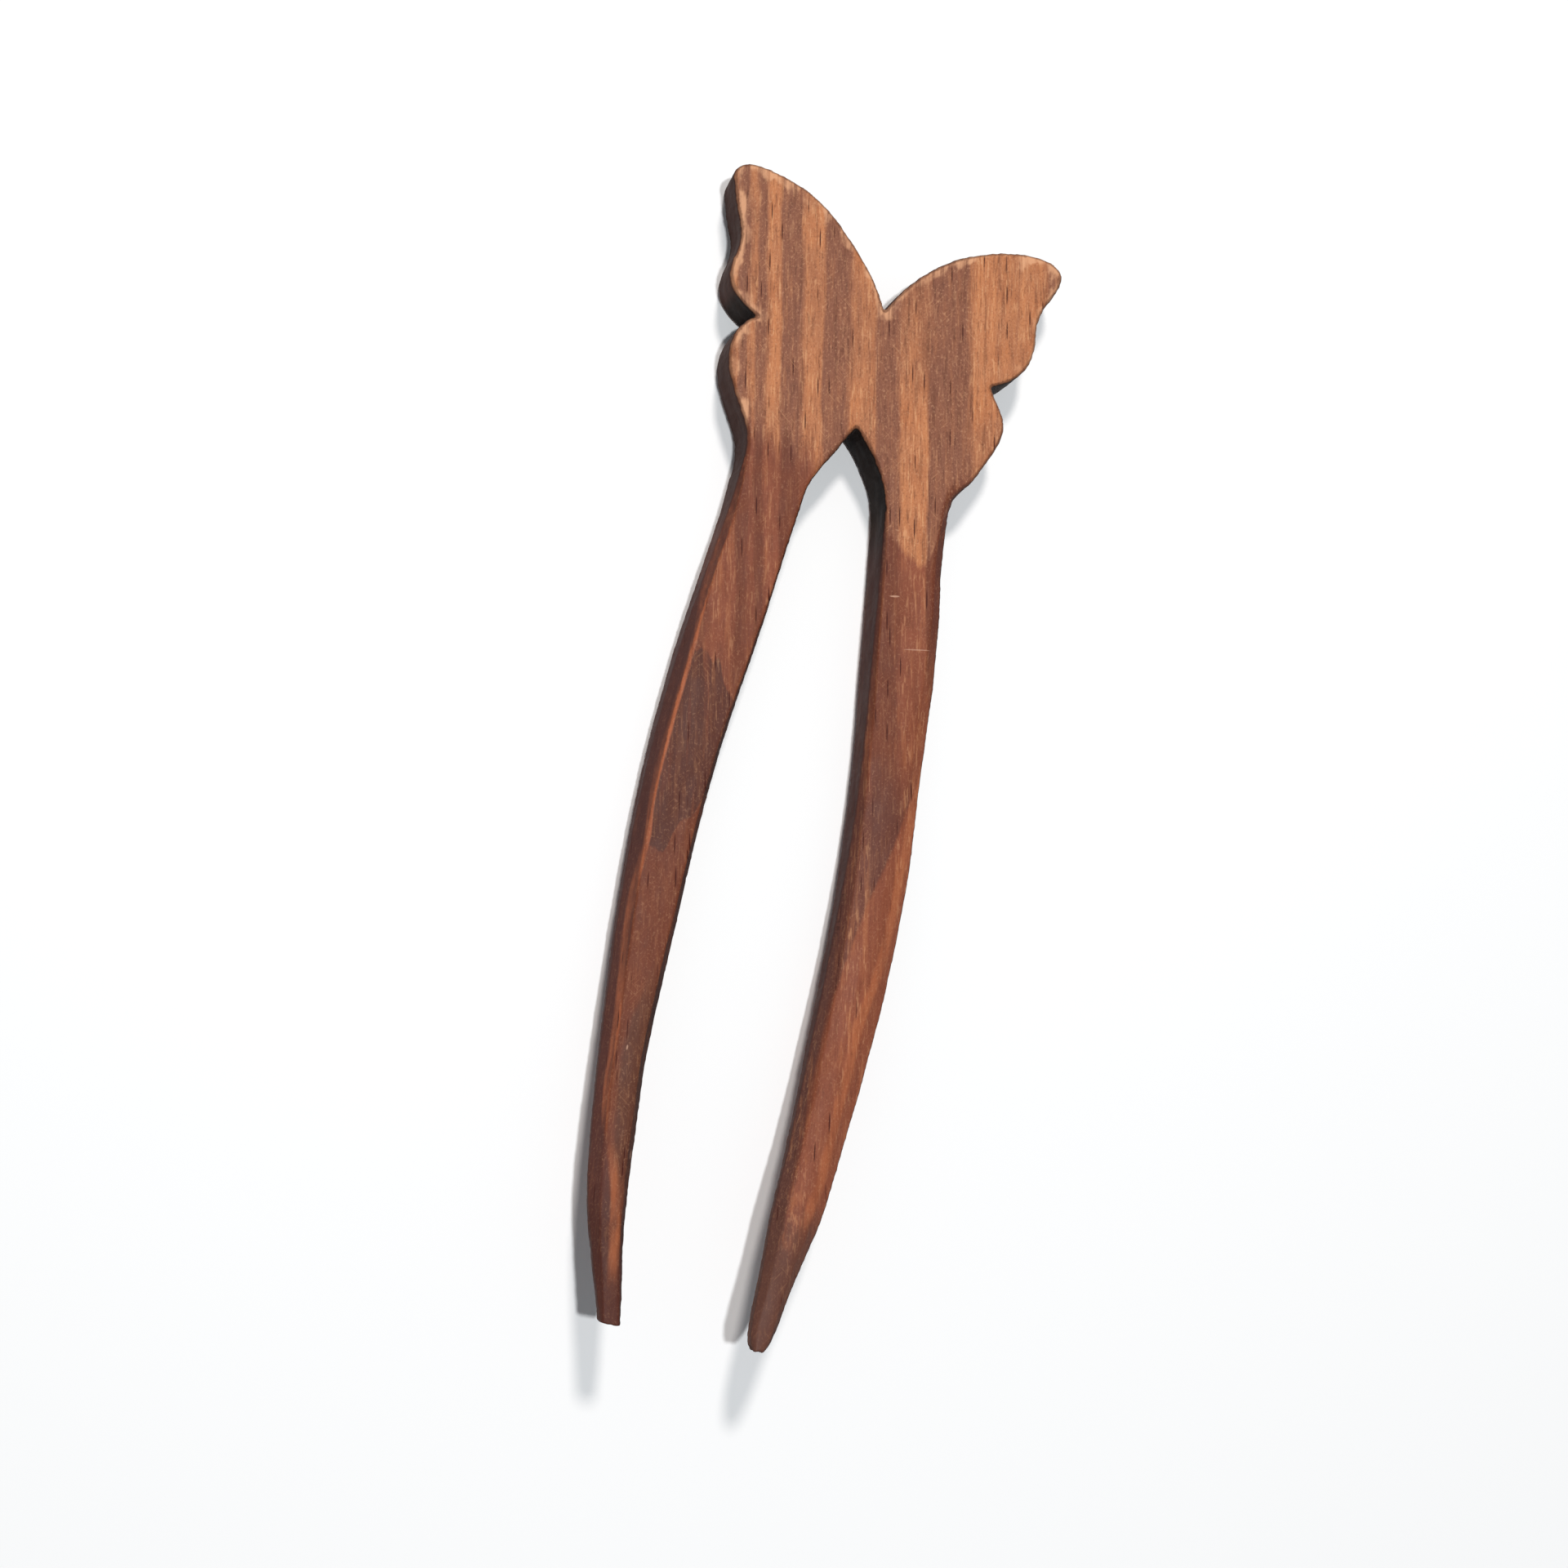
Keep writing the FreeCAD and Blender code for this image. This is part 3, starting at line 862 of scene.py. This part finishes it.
def wood_relief(wood, canals, rubbing):
    """The bumps of the fibres and specks, with the canals and the scratches sunk into them."""
    nodes = wood.nodes
    relief = nodes.math("MULTIPLY_ADD", wood.thread, 0.5, nodes.math("MULTIPLY", wood.fibre, 0.6))
    relief = nodes.math("MULTIPLY_ADD", wood.speck, 0.5, relief)
    relief = nodes.math("MULTIPLY_ADD", canals, -1.2, relief)
    relief = nodes.math("MULTIPLY_ADD", rubbing, -0.15, relief)
    settings = {"Height": relief, "Strength": RELIEF_STRENGTH, "Distance": RELIEF_DEPTH * MM}
    return nodes.add("ShaderNodeBump", settings).outputs[0]


def wood_material():
    material = bpy.data.materials.new("stained_softwood")
    material.use_nodes = True
    material.node_tree.nodes.clear()
    nodes = Nodes(material)
    wood = Wood(nodes)
    pale = growth_rings(wood)
    canals = resin_canals(wood)
    colour, on_head = bare_wood(wood, pale)
    colour = left_prong_marks(wood, colour)
    colour = right_prong_marks(wood, colour)
    colour = fibres(wood, colour, canals, pale, on_head)
    rubbing = nodes.math("MAXIMUM", scratches(wood, 38.0, 0.0), scratches(wood, -55.0, 40.0))
    rubbed = nodes.math("MULTIPLY", rubbing, nodes.step(on_head, 0.0, 1.0, 0.35, 1.0))
    patches = nodes.step(wood.cloud, 0.50, 0.62, 0.25, 1.0)
    colour = wood.stain(colour, nodes.math("MULTIPLY", rubbed, patches), SCRATCHED, 0.30)
    colour = pale_nicks(wood, colour)
    colour = worn_and_highlit_edges(wood, colour)
    colour = dark_walls(wood, colour, on_head)
    roughness = wood_roughness(wood, rubbing)
    relief = wood_relief(wood, canals, rubbing)
    settings = {
        "Base Color": colour,
        "Roughness": roughness,
        "Normal": relief,
        "Specular IOR Level": SPECULAR,
    }
    shader = nodes.add("ShaderNodeBsdfPrincipled", settings)
    nodes.add("ShaderNodeOutputMaterial", {"Surface": shader.outputs[0]})
    return material


# ---------------------------------------------------------------- the room

CAMERA_PLACE = Vector((-76.4, -56.6, 356.0)) * MM
CAMERA_FORWARD = Vector((0.2109, 0.1433, -0.9669))
CAMERA_UP = Vector((-0.2232, 0.9701, 0.0951))
CAMERA_LENS = 56.25  # mm
CAMERA_SENSOR = 36.0  # mm
CAMERA_NEAR = 0.01  # metres: nothing nearer is drawn

TABLE_HALF = 3.0  # metres from the table's middle to its sides
TABLE_GAP = 0.02  # mm between the table and the fork's back
TABLE_COLOUR = (0.88, 0.88, 0.88, 1.0)
TABLE_ROUGHNESS = 0.6
ROOM_COLOUR = (0.90, 0.95, 1.0, 1.0)
ROOM_LIGHT = 0.22  # strength of the even light from all round

# Lamps, which shine at the part's origin: name, place and width in metres, watts and colour
LAMPS = [
    ("ceiling_lamp", (0.04, -0.03, 1.20), 0.06, 7.8, (0.95, 0.98, 1.0)),
    ("window", (-0.12, 0.72, 1.05), 0.17, 8.4, (1.0, 0.95, 0.91)),
]


def add_camera():
    data = bpy.data.cameras.new("photo_view")
    data.lens = CAMERA_LENS
    data.sensor_width = CAMERA_SENSOR
    data.clip_start = CAMERA_NEAR
    camera = bpy.data.objects.new("photo_view", data)
    bpy.context.scene.collection.objects.link(camera)
    back = -CAMERA_FORWARD.normalized()
    right = CAMERA_UP.cross(back).normalized()
    up = back.cross(right)
    turned = Matrix((right, up, back)).transposed()
    camera.matrix_world = Matrix.Translation(CAMERA_PLACE) @ turned.to_4x4()
    bpy.context.scene.camera = camera
    bpy.context.scene.view_settings.view_transform = "Standard"


def add_lamp(name, place, width, watts, colour):
    data = bpy.data.lights.new(name, "AREA")
    data.shape = "DISK"
    data.size = width
    data.energy = watts
    data.color = colour
    lamp = bpy.data.objects.new(name, data)
    lamp.location = place
    lamp.rotation_euler = (-Vector(place)).to_track_quat("-Z", "Y").to_euler()
    bpy.context.scene.collection.objects.link(lamp)


def add_table():
    mesh = bpy.data.meshes.new("table")
    ends = ((-1, -1), (1, -1), (1, 1), (-1, 1))
    mesh.from_pydata([(x * TABLE_HALF, y * TABLE_HALF, 0) for x, y in ends], [], [(0, 1, 2, 3)])
    table = bpy.data.objects.new("table", mesh)
    table.location.z = -TABLE_GAP * MM
    bpy.context.scene.collection.objects.link(table)
    paper = bpy.data.materials.new("white_table")
    paper.use_nodes = True
    shader = paper.node_tree.nodes["Principled BSDF"]
    shader.inputs["Base Color"].default_value = TABLE_COLOUR
    shader.inputs["Roughness"].default_value = TABLE_ROUGHNESS
    table.data.materials.append(paper)


def add_room_light():
    world = bpy.data.worlds.new("room")
    world.use_nodes = True
    background = world.node_tree.nodes["Background"]
    background.inputs["Color"].default_value = ROOM_COLOUR
    background.inputs["Strength"].default_value = ROOM_LIGHT
    bpy.context.scene.world = world
    for lamp in LAMPS:
        add_lamp(*lamp)


def main():
    fork = make_fork()
    fork.data.materials.clear()
    fork.data.materials.append(wood_material())
    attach(fork, "root")
    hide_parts("butterfly_head", "left_prong", "right_prong")
    add_table()
    add_room_light()
    add_camera()


main()
